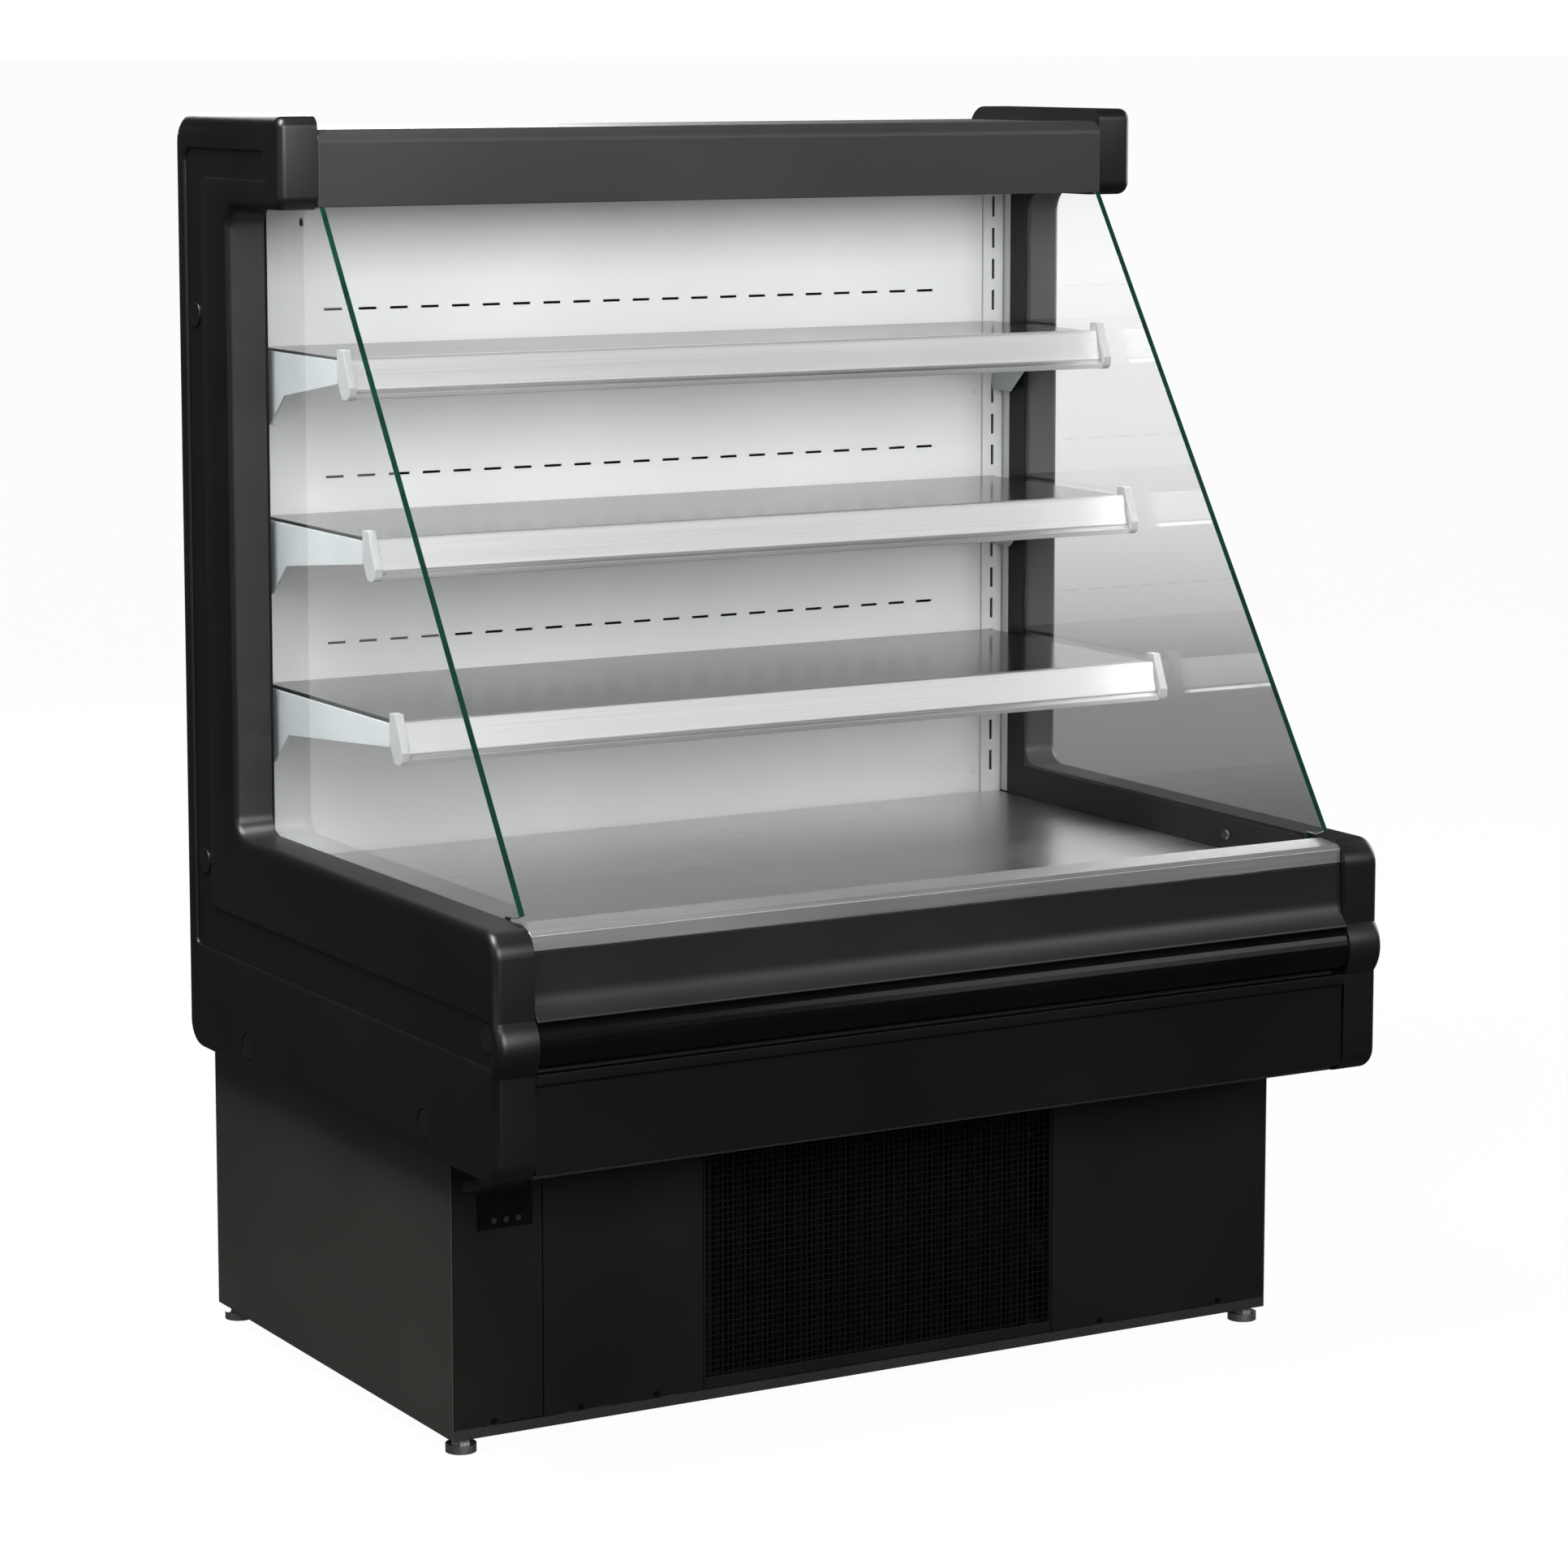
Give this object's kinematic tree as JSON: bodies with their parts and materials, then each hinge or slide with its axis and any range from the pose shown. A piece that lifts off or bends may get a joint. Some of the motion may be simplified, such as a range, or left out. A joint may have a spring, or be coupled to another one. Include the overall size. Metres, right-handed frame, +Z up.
{
  "type": "refrigerated deli case",
  "caption": "Open-fronted refrigerated deli case: black end panels with slanted side glass, shelves over a deck, and a machine base on levelling feet.",
  "frame": {"origin": "on the floor, under the middle of the case's bounding box", "axes": "+Z up, -Y towards the customer, +X to the customer's right"},
  "size_m": [1, 0.728, 1.263],
  "materials": {
    "black_abs": "satin moulded ABS, black",
    "cap_plastic": "satin black",
    "black_steel": "satin black powder coat",
    "frame_steel": "matt black powder coat",
    "header_steel": "satin dark grey-black paint",
    "rear_steel": "matt grey-black paint",
    "grey_steel": "satin light grey paint",
    "mesh_steel": "black coated wire",
    "bumper_pvc": "gloss black",
    "stainless": "satin stainless steel",
    "polished_steel": "polished stainless steel",
    "rail_aluminium": "anodised",
    "lip_aluminium": "satin anodised",
    "grey_plastic": "light grey plastic",
    "side_glass": "clear tempered glass",
    "foam": "foam core with grey skin",
    "lamp_diffuser": "opal",
    "controller_plastic": "black",
    "key_plastic": "grey",
    "foot_zinc": "zinc plated",
    "screw_steel": "black zinc",
    "machine_enamel": "black enamel",
    "coil_aluminium": "mill finish fins",
    "fan_plastic": "grey plastic",
    "galvanised": "galvanised sheet",
    "copper": "copper tube",
    "pan_steel": "stainless sheet"
  },
  "bodies": {
    "case": {"base_frame": "frame_steel", "base_side_left": "black_steel", "base_side_right": "black_steel", "rear_grille": "black_steel", "controller_panel": "black_steel", "service_panel": "black_steel", "right_panel": "black_steel", "upper_front_panel": "black_steel", "lower_front_panel": "black_steel", "panel_screws": "screw_steel", "controller": "controller_plastic", "compressor": "machine_enamel", "condenser_coil": "machine_enamel", "evaporator": "coil_aluminium", "condenser_fan_mount": "galvanised", "evaporator_fan_mount": "galvanised", "refrigerant_pipes": "copper", "condensate_pan": "pan_steel", "electrical_box": "grey_plastic", "power_inlet": "cap_plastic", "screw_caps": "cap_plastic", "left_cheek": "black_abs", "right_cheek": "black_abs", "header_front": "header_steel", "header_top": "header_steel", "header_lamp": "lamp_diffuser", "insulated_tank": "foam", "rear_panel": "rear_steel", "duct_panel": "grey_steel", "side_liners": "grey_steel", "uprights": "grey_steel", "front_lip": "lip_aluminium", "bumper": "bumper_pvc", "glass_left": "side_glass", "glass_right": "side_glass"},
    "shelf_unit_bottom": {"shelf_bottom": "polished_steel", "price_rail_bottom": "rail_aluminium", "rail_caps_bottom": "grey_plastic", "brackets_bottom": "grey_steel"},
    "shelf_unit_middle": {"shelf_middle": "polished_steel", "price_rail_middle": "rail_aluminium", "rail_caps_middle": "grey_plastic", "brackets_middle": "grey_steel"},
    "shelf_unit_top": {"shelf_top": "polished_steel", "price_rail_top": "rail_aluminium", "rail_caps_top": "grey_plastic", "brackets_top": "grey_steel"},
    "deck": {"deck_tray": "stainless"},
    "grille": {"grille_panel": "black_steel", "grille_mesh": "mesh_steel"},
    "condenser_rotor": {"condenser_fan": "fan_plastic"},
    "evaporator_rotor_left": {"evaporator_fan_left": "fan_plastic"},
    "evaporator_rotor_right": {"evaporator_fan_right": "fan_plastic"},
    "key_set_body": {"key_set": "key_plastic"},
    "key_up_body": {"key_up": "key_plastic"},
    "key_down_body": {"key_down": "key_plastic"},
    "front_left_foot": {"foot_front_left": "foot_zinc"},
    "front_right_foot": {"foot_front_right": "foot_zinc"},
    "rear_left_foot": {"foot_rear_left": "foot_zinc"},
    "rear_right_foot": {"foot_rear_right": "foot_zinc"}
  },
  "joints": [
    {"name": "shelf_tilt_bottom", "type": "hinge", "parent": "case", "child": "shelf_unit_bottom", "pos_m": [0, 0.28985, 0.659], "axis": [-1, 0, 0], "range_deg": [0, 10]},
    {"name": "shelf_tilt_middle", "type": "hinge", "parent": "case", "child": "shelf_unit_middle", "pos_m": [0, 0.28985, 0.8315], "axis": [-1, 0, 0], "range_deg": [0, 10]},
    {"name": "shelf_tilt_top", "type": "hinge", "parent": "case", "child": "shelf_unit_top", "pos_m": [0, 0.28985, 1.004], "axis": [-1, 0, 0], "range_deg": [0, 10]},
    {"name": "deck_lift", "type": "slide", "parent": "case", "child": "deck", "axis": [0, 0, 1], "range_m": [0, 0.08]},
    {"name": "grille_pull", "type": "slide", "parent": "case", "child": "grille", "axis": [0, -1, 0], "range_m": [0, 0.15]},
    {"name": "condenser_fan_spin", "type": "hinge", "parent": "case", "child": "condenser_rotor", "pos_m": [0.0025, -0.1, 0.143], "axis": [0, 1, 0], "continuous": true},
    {"name": "evaporator_fan_spin_left", "type": "hinge", "parent": "case", "child": "evaporator_rotor_left", "pos_m": [-0.19, -0.15, 0.411], "axis": [0, 1, 0], "continuous": true},
    {"name": "evaporator_fan_spin_right", "type": "hinge", "parent": "case", "child": "evaporator_rotor_right", "pos_m": [0.19, -0.15, 0.411], "axis": [0, 1, 0], "continuous": true},
    {"name": "key_set_press", "type": "slide", "parent": "case", "child": "key_set_body", "axis": [0, 1, 0], "range_m": [0, 0.0008], "stiffness_N_per_m": 400, "springref_m": -0.0005},
    {"name": "key_up_press", "type": "slide", "parent": "case", "child": "key_up_body", "axis": [0, 1, 0], "range_m": [0, 0.0008], "stiffness_N_per_m": 400, "springref_m": -0.0005},
    {"name": "key_down_press", "type": "slide", "parent": "case", "child": "key_down_body", "axis": [0, 1, 0], "range_m": [0, 0.0008], "stiffness_N_per_m": 400, "springref_m": -0.0005},
    {"name": "foot_screw_front_left", "type": "slide", "parent": "case", "child": "front_left_foot", "axis": [0, 0, -1], "range_m": [0, 0.02]},
    {"name": "foot_screw_front_right", "type": "slide", "parent": "case", "child": "front_right_foot", "axis": [0, 0, -1], "range_m": [0, 0.02]},
    {"name": "foot_screw_rear_left", "type": "slide", "parent": "case", "child": "rear_left_foot", "axis": [0, 0, -1], "range_m": [0, 0.02]},
    {"name": "foot_screw_rear_right", "type": "slide", "parent": "case", "child": "rear_right_foot", "axis": [0, 0, -1], "range_m": [0, 0.02]}
  ]
}
